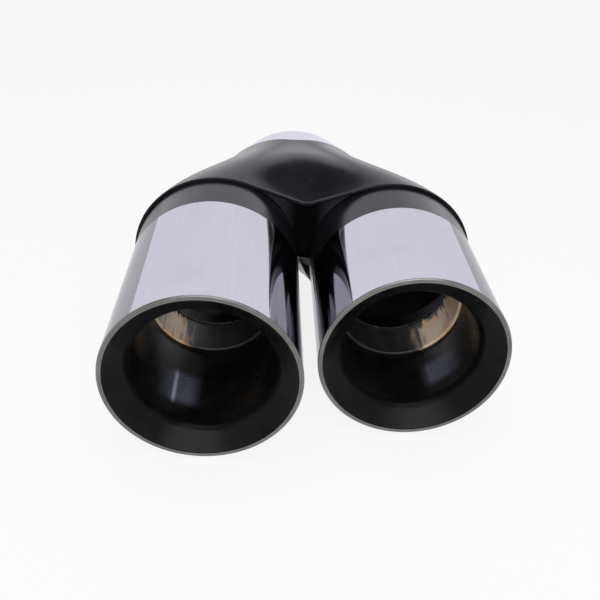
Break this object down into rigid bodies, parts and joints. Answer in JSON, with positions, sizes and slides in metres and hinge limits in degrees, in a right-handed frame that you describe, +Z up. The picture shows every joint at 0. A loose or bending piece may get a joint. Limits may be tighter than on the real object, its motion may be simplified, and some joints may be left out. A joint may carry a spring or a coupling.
{
  "type": "exhaust tip",
  "caption": "Staggered twin-outlet car exhaust tip: round inlet, black Y-shaped collector and polished double-wall outlets with flared inner lips.",
  "frame": {"origin": "centre of the inlet's rear mouth", "axes": "+Y along the inlet axis, back into the exhaust pipe; outlets open towards -Y; +Z up; +X to the right for someone behind the car"},
  "size_m": [0.1778, 0.1885, 0.0874],
  "materials": {
    "polished_steel": "polished",
    "black_coat": "satin black",
    "inner_steel": "darkened, drawn",
    "weld_metal": "rough weld bead"
  },
  "bodies": {
    "root": {"inlet_sleeve": "polished_steel", "inlet_weld": "weld_metal", "collector_upper": "black_coat", "collector_lower": "black_coat", "left_tip_tube": "polished_steel", "right_tip_tube": "polished_steel", "left_lip_cone": "inner_steel", "right_lip_cone": "inner_steel", "left_inner_sleeve": "inner_steel", "right_inner_sleeve": "inner_steel", "left_branch_stub": "inner_steel", "right_branch_stub": "inner_steel", "left_bulkhead_ring": "inner_steel", "right_bulkhead_ring": "inner_steel", "left_stub_weld": "weld_metal", "right_stub_weld": "weld_metal"}
  },
  "joints": []
}
